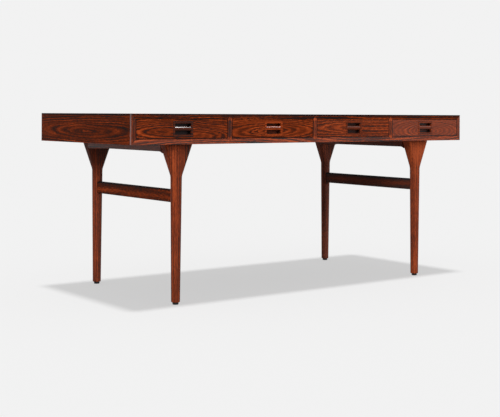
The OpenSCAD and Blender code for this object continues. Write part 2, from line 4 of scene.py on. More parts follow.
import bmesh
import bpy
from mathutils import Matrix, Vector

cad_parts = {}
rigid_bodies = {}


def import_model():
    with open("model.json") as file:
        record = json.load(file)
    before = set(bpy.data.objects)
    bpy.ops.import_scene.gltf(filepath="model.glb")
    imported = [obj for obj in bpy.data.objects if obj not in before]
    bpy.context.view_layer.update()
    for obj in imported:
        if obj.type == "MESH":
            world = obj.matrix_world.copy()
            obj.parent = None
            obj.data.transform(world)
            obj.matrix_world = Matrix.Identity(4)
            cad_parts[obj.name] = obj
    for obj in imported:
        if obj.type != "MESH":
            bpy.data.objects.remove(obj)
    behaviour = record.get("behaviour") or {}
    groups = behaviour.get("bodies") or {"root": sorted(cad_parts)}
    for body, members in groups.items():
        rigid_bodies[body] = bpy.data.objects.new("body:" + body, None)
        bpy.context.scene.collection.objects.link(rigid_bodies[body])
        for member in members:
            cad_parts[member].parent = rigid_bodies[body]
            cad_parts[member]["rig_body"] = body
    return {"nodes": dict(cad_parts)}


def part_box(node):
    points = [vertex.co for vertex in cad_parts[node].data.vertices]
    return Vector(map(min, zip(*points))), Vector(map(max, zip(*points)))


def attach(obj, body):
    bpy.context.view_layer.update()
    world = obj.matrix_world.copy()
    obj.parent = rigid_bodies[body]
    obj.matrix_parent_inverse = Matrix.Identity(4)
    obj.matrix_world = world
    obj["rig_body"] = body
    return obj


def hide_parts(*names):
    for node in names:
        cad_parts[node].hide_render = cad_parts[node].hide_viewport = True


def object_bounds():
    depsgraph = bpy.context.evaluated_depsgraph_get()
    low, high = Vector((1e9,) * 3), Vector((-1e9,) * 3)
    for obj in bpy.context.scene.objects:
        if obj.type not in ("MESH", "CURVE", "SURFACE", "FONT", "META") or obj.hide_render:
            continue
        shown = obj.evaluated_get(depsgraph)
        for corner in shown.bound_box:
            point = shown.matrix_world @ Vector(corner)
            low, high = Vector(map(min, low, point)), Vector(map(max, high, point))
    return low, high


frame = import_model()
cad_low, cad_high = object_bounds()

NODES = frame["nodes"]
SCENE = bpy.context.scene

# Sizes that the finishes and pieces share, in metres, read from the frame
HALF_W = cad_high.x
FRONT_Y = cad_low.y
BACK_Y = cad_high.y
TOP_Z = cad_high.z
CASE_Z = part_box("left_end_panel")[0].z
MID_Z = (CASE_Z + TOP_Z) / 2
DRAWERS = (1, 2, 3, 4)
LEGS = ("front_left", "front_right", "back_left", "back_right")
# The sides of the desk, and which way each lies along X
SIDES = (("left", -1), ("right", 1))


def middle(node):
    """The middle of a node at rest."""
    low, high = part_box(node)
    return (low + high) / 2


def span(axis, edge, start, end):
    """A stretch of an axis that is told from an edge."""
    return axis, edge + start, edge + end


# The photograph's view: 500 by 417 pixels, taken level from just above the writing surface
PICTURE_W = 500
PICTURE_H = 417
FOCAL_PX = 1068.9
HORIZON_PX = 113.9
EYE = Vector((-2.944, -3.818, 0.7449))
EYE_TURN = math.radians(37.04)
EYE_ROLL = math.radians(0.29)
SENSOR_MM = 36
NEAREST_SEEN = 0.1
FURTHEST_SEEN = 400


def photo_camera():
    """The camera at the photograph's place, with its frame moved down instead of its lens tilted."""
    lens = bpy.data.cameras.new("photo_camera")
    lens.sensor_width = SENSOR_MM
    lens.lens = FOCAL_PX * lens.sensor_width / PICTURE_W
    lens.shift_y = (HORIZON_PX - PICTURE_H / 2) / PICTURE_W
    lens.clip_start = NEAREST_SEEN
    lens.clip_end = FURTHEST_SEEN
    camera = bpy.data.objects.new("photo_camera", lens)
    camera.location = EYE
    camera.rotation_euler = (math.radians(90), -EYE_ROLL, -EYE_TURN)
    SCENE.collection.objects.link(camera)
    SCENE.camera = camera
    SCENE.view_settings.view_transform = "Standard"


class Link:
    """A number made by a node. Sums on it add Math nodes."""

    def __init__(self, net, socket):
        self.net = net
        self.socket = socket

    def math(self, operation, *others):
        """The outcome of a Math node on this number and the others."""
        return self.net.math(operation, self, *others)

    def __add__(self, other):
        return self.math("ADD", other)

    def __sub__(self, other):
        return self.math("SUBTRACT", other)

    def __rsub__(self, other):
        return self.net.math("SUBTRACT", other, self)

    def __mul__(self, other):
        return self.math("MULTIPLY", other)

    def __truediv__(self, other):
        return self.math("DIVIDE", other)

    __radd__ = __add__
    __rmul__ = __mul__

    def clamped(self):
        """The number kept from 0 to 1."""
        return self.math("MAXIMUM", 0).math("MINIMUM", 1)

    def rise(self, low, high):
        """0 below low, 1 above high, and even in between. It falls where low is above high."""
        return ((self - low) / (high - low)).clamped()


class Net:
    """The nodes of a finish, of a shape or of the surroundings."""

    def __init__(self, tree):
        self.tree = tree
        tree.nodes.clear()

    def find(self, sockets, key):
        """A socket by its name, or by its number where several share a name."""
        if isinstance(key, int):
            return sockets[key]
        return next(s for s in sockets if s.enabled and key in (s.name, s.identifier))

    def add(self, kind, settings=None, sockets=None, out=0):
        """Adds a node, sets it, feeds its sockets and gives the output named out."""
        node = self.tree.nodes.new(kind)
        for key, value in (settings or {}).items():
            if key == "stops":
                self.set_stops(node.color_ramp, value)
            else:
                setattr(node, key, value)
        for key, value in (sockets or {}).items():
            for one in value if isinstance(value, list) else [value]:
                socket = self.find(node.inputs, key)
                if isinstance(one, Link):
                    self.tree.links.new(one.socket, socket)
                else:
                    socket.default_value = one
        return Link(self, self.find(node.outputs, out)) if len(node.outputs) else node

    def set_stops(self, ramp, stops):
        """Gives a colour ramp its places and colours."""
        while len(ramp.elements) < len(stops):
            ramp.elements.new(1)
        for element, (place, colour) in zip(ramp.elements, stops):
            element.position = place
            element.color = (*colour, 1)

    def math(self, operation, *values):
        """The outcome of a Math node."""
        return self.add("ShaderNodeMath", {"operation": operation}, dict(enumerate(values)))

    def vector(self, x, y, z):
        """A vector of three numbers."""
        return self.add("ShaderNodeCombineXYZ", None, {"X": x, "Y": y, "Z": z})

    def parts(self, vector):
        """The X, Y and Z of a vector."""
        node = self.add("ShaderNodeSeparateXYZ", None, {"Vector": vector}).socket.node
        return {axis.lower(): Link(self, node.outputs[axis]) for axis in "XYZ"}

    def place(self):
        """The X, Y and Z of a point on the piece."""
        return self.parts(self.add("ShaderNodeTexCoord", out="Object"))

    def noise(self, x, y, z, detail=2.0, roughness=0.5):
        """Noise over three stretched directions, from -0.5 to 0.5."""
        place = self.vector(x, y, z)
        sockets = {"Vector": place, "Scale": 1.0, "Detail": detail, "Roughness": roughness}
        return self.add("ShaderNodeTexNoise", None, sockets, "Fac") - 0.5

    def ramp(self, stops, number):
        """The colour that a number from 0 to 1 takes between the stops."""
        return self.add("ShaderNodeValToRGB", {"stops": stops}, {"Fac": number}, "Color")

    def bump(self, height, strength, distance):
        """A surface roughened by a height."""
        sockets = {"Height": height, "Strength": strength, "Distance": distance}
        return self.add("ShaderNodeBump", None, sockets, "Normal")

    def surface(self, sockets):
        """Ends a finish in its shader."""
        shader = self.add("ShaderNodeBsdfPrincipled", None, sockets, "BSDF")
        self.add("ShaderNodeOutputMaterial", None, {"Surface": shader})


def new_finish(name):
    """An empty material and its nodes."""
    material = bpy.data.materials.new(name)
    material.use_nodes = True
    return material, Net(material.node_tree)


# Colours of the timbers from their darkest line to their lightest wood, in linear light
ROSEWOOD = (
    (0.00, (0.014, 0.0085, 0.0085)),
    (0.20, (0.032, 0.0100, 0.0065)),
    (0.40, (0.070, 0.0125, 0.0040)),
    (0.60, (0.125, 0.0200, 0.0050)),
    (0.80, (0.200, 0.0310, 0.0070)),
    (1.00, (0.320, 0.0550, 0.0120)),
)
OAK = (
    (0.00, (0.22, 0.13, 0.06)),
    (0.40, (0.42, 0.27, 0.13)),
    (0.75, (0.56, 0.38, 0.20)),
    (1.00, (0.66, 0.48, 0.28)),
)
BEECH = (
    (0.00, (0.34, 0.20, 0.10)),
    (0.50, (0.56, 0.38, 0.22)),
    (1.00, (0.68, 0.50, 0.31)),
)


def with_painted_sheen(palette, amount):
    """The palette under a grey haze that is painted sheen, standing for the reflection of the pale room.
    """
    return tuple((place, tuple(c + amount for c in colour)) for place, colour in palette)


# A board's figure, where its finish says nothing else
FIGURE = {
    # Places along and across the grain that the rings close round
    "hearts": ((0.0, 0.0),),
    # Where the face lies through the board, and how far the hearts lie off it
    "level": 0.0,
    "depth": 0.002,
    # How long the rings are drawn out, and how many there are to the metre
    "stretch": 5.5,
    "bands": 150,
    # How far the rings sway, and how ragged they are
    "wander": 0.010,
    "jag": 0.005,
    # How light the wood is, how far its rings differ and how black its veins are
    "tone": 0.62,
    "contrast": 0.95,
    "ink": 0.30,
    # How cloudy the wood is between its rings
    "mottle": 1.0,
    # Width of a veneer leaf that is mirrored at its joints, or none
    "leaf": 0.0,
    # Which tree the board comes from
    "seed": 0.0,
}

# Noises in the wood: how many lie in a metre along and across the grain, their detail and roughness
BEND = (2.2, 9, 2.0, 0.5)
SWAY = (9, 45, 1.0, 0.5)
RAG = (60, 160, 2.0, 0.5)
CLOUD = (7, 36, 3.0, 0.5)
DASH = (55, 240, 2.0, 0.5)
FIBRE = (30, 900, 3.0, 0.6)
PORE = (90, 2600, 1.0, 0.5)
# Noises from ring to ring: how many lie in a metre along the grain and in a ring, and as above
UNEVEN = (1.2, 0.3, 1.0, 0.5)
FADE = (4, 0.4, 1.0, 0.5)
BROAD = (1.5, 0.5, 2.0, 0.6)
# How far the noise that rings fade by lies from the others
FADE_APART = 5

# Shares of a board's wander that are slow bends and short sways
BEND_SHARE = 2
SWAY_SHARE = 0.5
# Distance over which the rings round two hearts run into each other
HEARTS_MEET = 0.01
# How far uneven growth shifts the rings and the veins, and how many veins there are to a ring
RING_SHIFT = 14
VEIN_SHIFT = 20
VEIN_RATE = 0.62
# Strength of the rings and of the veins, and how far both come and go
RING_STRENGTH = 0.24
RING_FADE = 0.8
VEIN_STRENGTH = 0.7
VEIN_FADE = 2
# How high a wave stands where a vein begins and where it is black
VEIN_STARTS = 0.45
VEIN_FULL = 0.95
# Shares of the noises in the tone of the wood
BROAD_SHARE = 0.5
CLOUD_SHARE = 0.8
DASH_SHARE = 0.9
FIBRE_SHARE = 0.2
# How high the noise stands where a pore's colour begins and is full, and how much darker it is
PORE_STARTS = 0.12
PORE_FULL = 0.22
PORE_DARK = 0.06
# The same for a pore's hollow, and the shares of fibres and pores in the relief
HOLLOW_STARTS = 0.10
HOLLOW_FULL = 0.25
FIBRE_RELIEF = 0.6
PORE_RELIEF = 0.8
RELIEF_STRENGTH = 0.12
RELIEF_DISTANCE = 0.0003
# How far fibres change the gloss, and how rough the clear coat is
FIBRE_GLOSS = 0.10
COAT_ROUGHNESS = 0.07


def timber(name, palette, along, across, sheen=0.10, gloss=0.36, rims=(), lacquer=(), **given):
    """A finished board: its grain runs along one axis, and its figure shows across another.

    rims are stretches of an axis over which the colour is made lighter or darker, most of them as
    painted light and shade, and lacquer has stretches of an axis over which a clear coat comes on, which
    lies where all of them have it.
    """
    figure = {**FIGURE, **given}
    material, net = new_finish(name)
    place = net.place()
    through = next(a for a in "xyz" if a not in (along, across))
    u, v, w = place[along], place[across], place[through]
    seed = figure["seed"]
    bands = figure["bands"]
    wander = figure["wander"]
    if figure["leaf"]:
        v = v.math("PINGPONG", figure["leaf"])

    def grain(noise, shift=0.0):
        """A noise that is drawn out along the grain."""
        lengthwise, crosswise, detail, rough = noise
        return net.noise(u * lengthwise + shift, v * crosswise, w * crosswise, detail, rough)

    bend = grain(BEND, seed) * (BEND_SHARE * wander)
    sway = grain(SWAY, seed) * (SWAY_SHARE * wander)
    v_bent = v + bend + sway
    rings = None
    for heart_u, heart_v in figure["hearts"]:
        du = (u - heart_u) / figure["stretch"]
        dv = v_bent - heart_v
        dw = w - figure["level"]
        ring = (du * du + dv * dv + dw * dw + figure["depth"] ** 2).math("SQRT")
        rings = ring if rings is None else rings.math("SMOOTH_MIN", ring, HEARTS_MEET)
    rings = rings + grain(RAG, seed) * figure["jag"]

    def growth(noise, u_shift=0.0, ring_shift=0.0, layer=seed):
        """A noise that changes from ring to ring."""
        lengthwise, to_ring, detail, rough = noise
        ring = rings * (to_ring * bands) + ring_shift
        return net.noise(u * lengthwise + u_shift, ring, layer, detail, rough)

    uneven = growth(UNEVEN, ring_shift=seed)
    fade = growth(FADE, u_shift=seed, layer=seed + FADE_APART)
    broad = growth(BROAD, ring_shift=seed)
    turns = rings * (2 * math.pi * bands)
    early = (turns + uneven * RING_SHIFT).math("SINE")
    late = (turns * VEIN_RATE + uneven * VEIN_SHIFT + seed).math("SINE")
    fibre = grain(FIBRE)
    pore = grain(PORE)

    mottle = broad * BROAD_SHARE + grain(CLOUD, seed) * CLOUD_SHARE + grain(DASH, seed) * DASH_SHARE
    lines = early * (fade * RING_FADE + RING_STRENGTH)
    light = lines + mottle * figure["mottle"] + fibre * FIBRE_SHARE
    veins = late.rise(VEIN_STARTS, VEIN_FULL) * (fade * VEIN_FADE + VEIN_STRENGTH)
    pores = pore.rise(PORE_STARTS, PORE_FULL) * PORE_DARK
    tone = light * figure["contrast"] - veins * figure["ink"] - pores + figure["tone"]
    for axis, start, end, change in rims:
        tone = tone + place[axis].rise(start, end) * change

    relief = fibre * FIBRE_RELIEF - pore.rise(HOLLOW_STARTS, HOLLOW_FULL) * PORE_RELIEF
    sockets = {
        "Base Color": net.ramp(palette, tone),
        "Roughness": fibre * FIBRE_GLOSS + gloss,
        "Normal": net.bump(relief, RELIEF_STRENGTH, RELIEF_DISTANCE),
        "Specular IOR Level": sheen,
    }
    if lacquer:
        coats = [place[axis].rise(start, end) for axis, start, end in lacquer]
        coat = coats[0]
        for other in coats[1:]:
            coat = coat * other
        sockets["Coat Weight"] = coat
        sockets["Coat Roughness"] = COAT_ROUGHNESS
    net.surface(sockets)
    return material


# Black nylon, from its darkest to its lightest, and how rough and how shiny it is
NYLON = ((0.0, (0.003, 0.003, 0.003)), (1.0, (0.014, 0.014, 0.014)))
NYLON_ROUGHNESS = 0.5
NYLON_SHEEN = 0.25
# Scuffs: how many lie in a metre round it and up it, their detail, roughness and relief
SCUFFS_ROUND = 300
SCUFFS_UP = 90
SCUFF_DETAIL = 3.0
SCUFF_ROUGHNESS = 0.3
SCUFF_STRENGTH = 0.2
SCUFF_DISTANCE = 0.0002


def black_nylon():
    """Moulded nylon, dull and a little scuffed."""
    material, net = new_finish("black_nylon")
    place = net.place()
    x, y, z = place["x"] * SCUFFS_ROUND, place["y"] * SCUFFS_ROUND, place["z"] * SCUFFS_UP
    scuff = net.noise(x, y, z, SCUFF_DETAIL)
    net.surface({
        "Base Color": net.ramp(NYLON, scuff + 0.5),
        "Roughness": scuff * SCUFF_ROUGHNESS + NYLON_ROUGHNESS,
        "Normal": net.bump(scuff, SCUFF_STRENGTH, SCUFF_DISTANCE),
        "Specular IOR Level": NYLON_SHEEN,
    })
    return material


# Zinc, from its darkest to its lightest, and how rough it is
ZINC = ((0.0, (0.34, 0.33, 0.30)), (1.0, (0.62, 0.61, 0.58)))
ZINC_ROUGHNESS = 0.34
# Clouds in the zinc: how many lie in a metre, their detail and how far they change its roughness
CLOUDS = 60
CLOUDS_DETAIL = 3.0
CLOUDS_ROUGHNESS = 0.25
# Turning marks: how many lie in a metre, their detail and relief
MARKS = 900
MARKS_DETAIL = 2.0
MARKS_STRENGTH = 0.15
MARKS_DISTANCE = 0.0001


def zinc_steel():
    """Zinc-plated steel with faint turning marks."""
    material, net = new_finish("zinc_steel")
    place = net.place()
    marks = net.noise(*(place[axis] * MARKS for axis in "xyz"), MARKS_DETAIL)
    cloud = net.noise(*(place[axis] * CLOUDS for axis in "xyz"), CLOUDS_DETAIL)
    net.surface({
        "Base Color": net.ramp(ZINC, cloud + 0.5),
        "Metallic": 1.0,
        "Roughness": cloud * CLOUDS_ROUGHNESS + ZINC_ROUGHNESS,
        "Normal": net.bump(marks, MARKS_STRENGTH, MARKS_DISTANCE),
    })
    return material


# Light of the pale room: what the lens sees, the floor in the shadow, and what falls on the desk
PALE = 0.887
SHADE = 0.597
ROOM_LIGHT = 0.28
# Share of the room's light that the desk keeps off the floor beneath it
HIDDEN_ROOM = 0.39
FLOOR_REACH = 100
# Far soft lamps: where they stand from the desk, how strong and how wide they are in degrees
LAMPS = {
    "overhead_lamp": {"towards": (-0.03, -0.026, 1.0), "level": 0.70, "spread": 7},
    "key_lamp": {"towards": (-0.72, -0.50, 0.48), "level": 0.80, "spread": 25},
    "fill_lamp": {"towards": (0.55, -0.80, 0.22), "level": 0.55, "spread": 30},
}
# Lamps that leave the floor out, so that only the one overhead throws a shadow
OFF_THE_FLOOR = ("key_lamp", "fill_lamp")
# Strips of light that show in the polish of the first two pulls
GLINTS = {
    1: {"place": (0.90, -1.70, 3.10), "width": 0.6, "length": 4.4, "brightness": 26},
    2: {"place": (2.16, -1.94, 3.41), "width": 0.7, "length": 1.0, "brightness": 15},
}
GLINT_LEAN = math.radians(30)


def seen_directly(net):
    """1 for what the lens sees straight, in a gloss or through glass."""
    paths = net.add("ShaderNodeLightPath").socket.node.outputs
    shown = Link(net, paths["Is Camera Ray"])
    for name in ("Is Glossy Ray", "Is Transmission Ray"):
        shown = shown.math("MAXIMUM", Link(net, paths[name]))
    return shown


def pale_room():
    """A room that shows paler than the light that it throws on the desk."""
    world = bpy.data.worlds.new("pale_room")
    world.use_nodes = True
    net = Net(world.node_tree)
    shown = seen_directly(net)
    level = shown * (PALE - ROOM_LIGHT) + ROOM_LIGHT
    light = net.add(
        "ShaderNodeBackground", None, {"Color": (1, 1, 1, 1), "Strength": level}, "Background"
    )
    net.add("ShaderNodeOutputWorld", None, {"Surface": light})
    SCENE.world = world


def pale_floor():
    """A floor that shows as pale as the room, and darkens where the overhead lamp is cut off."""
    mesh = bpy.data.meshes.new("floor")
    corners = [(x * FLOOR_REACH, y * FLOOR_REACH, 0) for x, y in ((-1, -1), (1, -1), (1, 1), (-1, 1))]
    mesh.from_pydata(corners, [], [(0, 1, 2, 3)])
    floor = bpy.data.objects.new("floor", mesh)
    SCENE.collection.objects.link(floor)
    material, net = new_finish("pale_floor")
    overhead = LAMPS["overhead_lamp"]["level"]
    share = (PALE - SHADE) / (overhead + HIDDEN_ROOM * ROOM_LIGHT)
    own_light = PALE - share * (overhead + ROOM_LIGHT)
    matt = net.add("ShaderNodeBsdfDiffuse", None, {"Color": (share, share, share, 1)}, "BSDF")
    lit = net.add(
        "ShaderNodeEmission", None,
        {"Color": (1, 1, 1, 1), "Strength": seen_directly(net) * own_light}, "Emission",
    )
    both = net.add("ShaderNodeAddShader", None, {0: matt, 1: lit})
    net.add("ShaderNodeOutputMaterial", None, {"Surface": both})
    mesh.materials.append(material)
    return floor


def lamp(name, floor, towards, level, spread):
    """A far soft lamp. towards points from the desk to the lamp, and spread is its width."""
    light = bpy.data.lights.new(name, "SUN")
    light.energy = level * math.pi
    light.angle = math.radians(spread)
    made = bpy.data.objects.new(name, light)
    made.rotation_euler = Vector(towards).to_track_quat("Z", "Y").to_euler()
    made.visible_glossy = False
    SCENE.collection.objects.link(made)
    if name in OFF_THE_FLOOR:
        unlit = bpy.data.collections.new(name + "_leaves_out")
        unlit.objects.link(floor)
        made.light_linking.receiver_collection = unlit
        unlit.collection_objects[0].light_linking.link_state = "EXCLUDE"


def glint_lamp(name, pull, place, width, length, brightness):
    """A strip of light that only shows in a pull's polish. It runs backwards and rises."""
    light = bpy.data.lights.new(name, "AREA")
    light.shape = "RECTANGLE"
    light.size = width
    light.size_y = length
    light.energy = brightness * math.pi * width * length
    made = bpy.data.objects.new(name, light)
    made.location = place
    made.rotation_euler = (GLINT_LEAN, 0, 0)
    made.visible_diffuse = False
    SCENE.collection.objects.link(made)
    lit = bpy.data.collections.new(name + "_lights")
    lit.objects.link(pull)
    made.light_linking.receiver_collection = lit


# Angle between two faces above which the edge between them stays sharp in the shading
CREASE = math.radians(35)
# How far the broad faces lead the shading of their edges, out of 100
BROAD_FACES_LEAD = 100
# Points that are one point, faces that are one face, and arrises that are taken off
SAME_POINT = 2e-6
SAME_FACE = math.radians(0.4)
ARRIS = math.radians(40)
# How far arrises are taken off a thin board, a board and a pull
THIN_EASE = 0.0003
BOARD_EASE = 0.0004
PULL_EASE = 0.0006
# Steps round an arris that is taken off, and how full it stays
EASE_STEPS = 2
EASE_FULLNESS = 0.6


def smoothed(mesh):
    """The mesh shaded smooth where it curves, with its broad faces kept flat."""
    mesh.shade_smooth()
    mesh.set_sharp_from_angle(angle=CREASE)
    host = bpy.data.objects.new("host", mesh)
    SCENE.collection.objects.link(host)
    weigh = host.modifiers.new("weigh", "WEIGHTED_NORMAL")
    weigh.keep_sharp = True
    weigh.weight = BROAD_FACES_LEAD
    graph = bpy.context.evaluated_depsgraph_get()
    made = bpy.data.meshes.new_from_object(host.evaluated_get(graph), depsgraph=graph)
    made.name = mesh.name + "_smooth"
    bpy.data.objects.remove(host)
    return made


def placed(name, mesh, body, replaced, material=None):
    """Puts a finished mesh in the scene in the stead of the node that it stands for."""
    piece = bpy.data.objects.new(name, mesh)
    SCENE.collection.objects.link(piece)
    if material:
        mesh.materials.clear()
        mesh.materials.append(material)
    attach(piece, body)
    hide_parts(replaced)
    return piece


def plain_mesh(name, shape, material=None):
    """A shape as a mesh of its own."""
    mesh = bpy.data.meshes.new(name)
    if material:
        mesh.materials.append(material)
    shape.to_mesh(mesh)
    shape.free()
    return mesh


def eased(node, name, material, ease):
    """A node's own shape with its faces joined and its sharp arrises taken off."""
    shape = bmesh.new()
    shape.from_mesh(NODES[node].data)
    bmesh.ops.remove_doubles(shape, verts=shape.verts, dist=SAME_POINT)
    bmesh.ops.dissolve_limit(shape, angle_limit=SAME_FACE, verts=shape.verts, edges=shape.edges)
    sharp = [
        e for e in shape.edges
        if len(e.link_faces) == 2 and e.calc_face_angle_signed(0) > ARRIS
    ]
    bmesh.ops.bevel(
        shape, geom=sharp, offset=ease, offset_type="OFFSET", segments=EASE_STEPS,
        profile=EASE_FULLNESS, affect="EDGES", clamp_overlap=True,
    )
    mesh = smoothed(plain_mesh(name, shape))
    return placed(name, mesh, NODES[node]["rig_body"], node, material)


class Shape(Net):
    """A Geometry Nodes tree with named inputs for its sizes."""

    def __init__(self, name):
        super().__init__(bpy.data.node_groups.new(name, "GeometryNodeTree"))
        self.tree.is_modifier = True
        self.tree.interface.new_socket("Geometry", in_out="OUTPUT", socket_type="NodeSocketGeometry")

    def inputs(self, **kinds):
        """Adds the named inputs and gives them in the same order."""
        for name, kind in kinds.items():
            self.tree.interface.new_socket(
                name.replace("_", " "), in_out="INPUT", socket_type="NodeSocket" + kind
            )
        entry = self.tree.nodes.new("NodeGroupInput")
        return [Link(self, entry.outputs[name.replace("_", " ")]) for name in kinds]

    def finish(self, geometry, material):
        """Ends the tree: plain geometry with its material."""
        plain = self.add("GeometryNodeRealizeInstances", None, {"Geometry": geometry})
        dressed = self.add(
            "GeometryNodeSetMaterial", None, {"Geometry": plain, "Material": material}
        )
        self.add("NodeGroupOutput", None, {"Geometry": dressed})

    def made(self, name, **sizes):
        """Runs the tree with these sizes and gives the plain mesh."""
        host = bpy.data.objects.new(name, bpy.data.meshes.new(name))
        SCENE.collection.objects.link(host)
        modifier = host.modifiers.new("shape", "NODES")
        modifier.node_group = self.tree
        for item in self.tree.interface.items_tree:
            if item.item_type == "SOCKET" and item.in_out == "INPUT":
                modifier[item.identifier] = sizes[item.name.replace(" ", "_")]
        graph = bpy.context.evaluated_depsgraph_get()
        mesh = bpy.data.meshes.new_from_object(host.evaluated_get(graph), depsgraph=graph)
        bpy.data.objects.remove(host)
        return mesh


# Sizes of a leg that its box doesn't give, in metres
LEG = {
    "Foot_diameter": 0.035,
    "Foot_round": 0.003,
    "Head_height": 0.131,
    "Head_corner": 0.008,
    "Head_bend": 0.014,
}
# Sides of a leg, and its rows of faces: in all, up to the end of the foot and of the shaft
LEG_SIDES = 96
LEG_ROWS = 60
FOOT_ROWS = 6
SHAFT_ROWS = 20
# How steeply a head's side takes on its direction from the middle
SIDE_STEEPNESS = 1000


def leg_shape():
    """A turned leg whose round shaft tapers down and whose head flares sideways under the case."""
    net = Shape("turned_leg")
    place, top_d, foot_d, foot_round, foot_z, head_h, head_w, corner, bend, top_z, wood = net.inputs(
        Place="Vector", Top_diameter="Float", Foot_diameter="Float", Foot_round="Float",
        Foot_height="Float", Head_height="Float", Head_width="Float", Head_corner="Float",
        Head_bend="Float", Top_height="Float", Wood="Material",
    )
    blank = net.add(
        "GeometryNodeMeshCylinder", {"fill_type": "NGON"},
        {"Vertices": LEG_SIDES, "Side Segments": LEG_ROWS, "Radius": 1.0, "Depth": 1.0}, "Mesh",
    )
    at = net.parts(net.add("GeometryNodeInputPosition"))
    share = at["z"] + 0.5
    foot_end = FOOT_ROWS / LEG_ROWS
    shaft_end = SHAFT_ROWS / LEG_ROWS
    foot = share.rise(0, foot_end)
    shaft = share.rise(foot_end, shaft_end)
    head = share.rise(shaft_end, 1)

    turn = foot * (math.pi / 2)
    radius = (
        foot_d / 2 - foot_round + foot_round * turn.math("SINE") + (top_d - foot_d) / 2 * shaft
    )
    head_z = top_z - head_h
    shaft_z = foot_z + foot_round
    height = (
        foot_z + foot_round * (1 - turn.math("COSINE"))
        + (head_z - shaft_z) * shaft + head_h * head
    )
    rise = head_h * head
    slope = (head_w - top_d) / 2 / (head_h - bend / 2)
    low = rise.math("MINIMUM", bend)
    flare = slope * (low * low / (2 * bend) + (rise - bend).math("MAXIMUM", 0))
    corner_r = radius + (corner - radius) * head

    def side(direction, half):
        """How far out a point lies on a plan that goes from a round to a box with round corners."""
        lean = (direction * SIDE_STEEPNESS).math("MAXIMUM", -1).math("MINIMUM", 1)
        return lean * (half - corner_r) + direction * corner_r

    spot = net.vector(side(at["x"], radius + flare), side(at["y"], radius), height)
    moved = net.add(
        "GeometryNodeSetPosition", None,
        {
            "Geometry": blank,
            "Position": net.add(
                "ShaderNodeVectorMath", {"operation": "ADD"}, {0: spot, 1: place}, "Vector"
            ),
        },
    )
    net.finish(moved, wood)
    return net


# Sides of a screw's head and shank, rows of its head, and how far the dome draws the head in
SCREW_HEAD_SIDES = 32
SCREW_HEAD_ROWS = 4
SCREW_SHANK_SIDES = 24
DOME_DRAWN_IN = 0.18
# How much longer the tool that cuts the slot is than the head is wide
SLOT_OVERRUN = 1.2


def slotted_screw_shape():
    """A row of slotted screws: a domed head, a slot across it and a shank behind it."""
    net = Shape("slotted_screws")
    head_d, head_h, shank_d, shank_len, slot_w, slot_depth, count, step, start, turn, metal = net.inputs(
        Head_diameter="Float", Head_height="Float", Shank_diameter="Float", Shank_length="Float",
        Slot_width="Float", Slot_depth="Float", Count="Int", Step="Vector", Start="Vector",
        Turn="Vector", Metal="Material",
    )

    def rod(sides, rows, diameter, length):
        """An upright rod about its middle."""
        sizes = {"Vertices": sides, "Side Segments": rows, "Radius": diameter / 2, "Depth": length}
        return net.add("GeometryNodeMeshCylinder", {"fill_type": "NGON"}, sizes, "Mesh")

    def lifted(geometry, height):
        """The geometry raised."""
        move = {"Geometry": geometry, "Translation": net.vector(0.0, 0.0, height)}
        return net.add("GeometryNodeTransform", None, move)

    at = net.parts(net.add("GeometryNodeInputPosition"))
    lift = (at["z"] / head_h + 0.5).rise(0.5, 0)
    drawn_in = 1 - lift * lift * DOME_DRAWN_IN
    domed = net.add(
        "GeometryNodeSetPosition", None,
        {
            "Geometry": rod(SCREW_HEAD_SIDES, SCREW_HEAD_ROWS, head_d, head_h),
            "Position": net.vector(at["x"] * drawn_in, at["y"] * drawn_in, at["z"]),
        },
    )
    shank = lifted(rod(SCREW_SHANK_SIDES, 1, shank_d, shank_len), head_h + shank_len / 2)
    cutter = net.add(
        "GeometryNodeMeshCube", None,
        {"Size": net.vector(head_d * SLOT_OVERRUN, slot_w, slot_depth * 2)}, "Mesh",
    )
    slotted = net.add(
        "GeometryNodeMeshBoolean", {"operation": "DIFFERENCE"},
        {"Mesh 1": lifted(domed, head_h / 2), "Mesh 2": cutter}, "Mesh",
    )
    screw = net.add("GeometryNodeJoinGeometry", None, {"Geometry": [slotted, shank]})
    row = net.add(
        "GeometryNodeMeshLine", {"mode": "OFFSET"},
        {"Count": count, "Start Location": start, "Offset": step},
    )
    spin = net.add("FunctionNodeEulerToRotation", None, {"Euler": turn})
    screws = net.add(
        "GeometryNodeInstanceOnPoints", None, {"Points": row, "Instance": screw, "Rotation": spin}
    )
    net.finish(screws, metal)
    return net


# Along the top of the case, a painted highlight on the arris, over a painted dark line of shade just
# below it
TOP_EDGE_PAINTED_LIGHT = (
    (*span("z", TOP_Z, -0.0070, -0.0035), -0.75),
    (*span("z", TOP_Z, -0.0006, -0.0001), 0.75),
)
# Width of the leaves of veneer on the top and under the case, four from front to back
LEAF_W = (BACK_Y - FRONT_Y) / 4
# How far outside the case the heart of the upright lippings lies
UPRIGHT_HEART = 0.06
# How far in from the case's top and bottom a divider's lipping grows lighter, at its points
POINTS_BEGIN = 0.030
POINTS_LIGHT = 0.022
# Lippings to the left of here are darker, which only the first divider's is
FIRST_DIVIDER = ("x", -0.1, -0.2, -0.22)
# Finishes of the rails of each leg frame, with a grey painted sheen in their colour, and the right ones
# set darker as painted shade, the right stretcher also duller
STRETCHERS = {
    "left": {"hearts": ((-0.1, 0.30),), "painted_sheen": 0.0, "tone": 0.60, "contrast": 0.95,
             "ink": 0.30, "sheen": 0.01, "seed": 49.0},
    "right": {"hearts": ((0.1, 0.30),), "painted_sheen": 0.006, "tone": 0.40, "contrast": 0.55,
              "ink": 0.10, "sheen": 0.03, "seed": 51.0},
}
BEARERS = {
    "left": {"hearts": ((0.1, -0.61),), "painted_sheen": 0.064, "tone": 0.67, "seed": 59.0},
    "right": {"hearts": ((0.1, 0.71),), "painted_sheen": 0.004, "tone": 0.57, "seed": 61.0},
}
# The rails, the slots of the record named for them, and how far their arrises are taken off
RAILS = (("stretcher", "rosewood", 0.0015), ("bearer", "rosewood_dark", 0.0010))


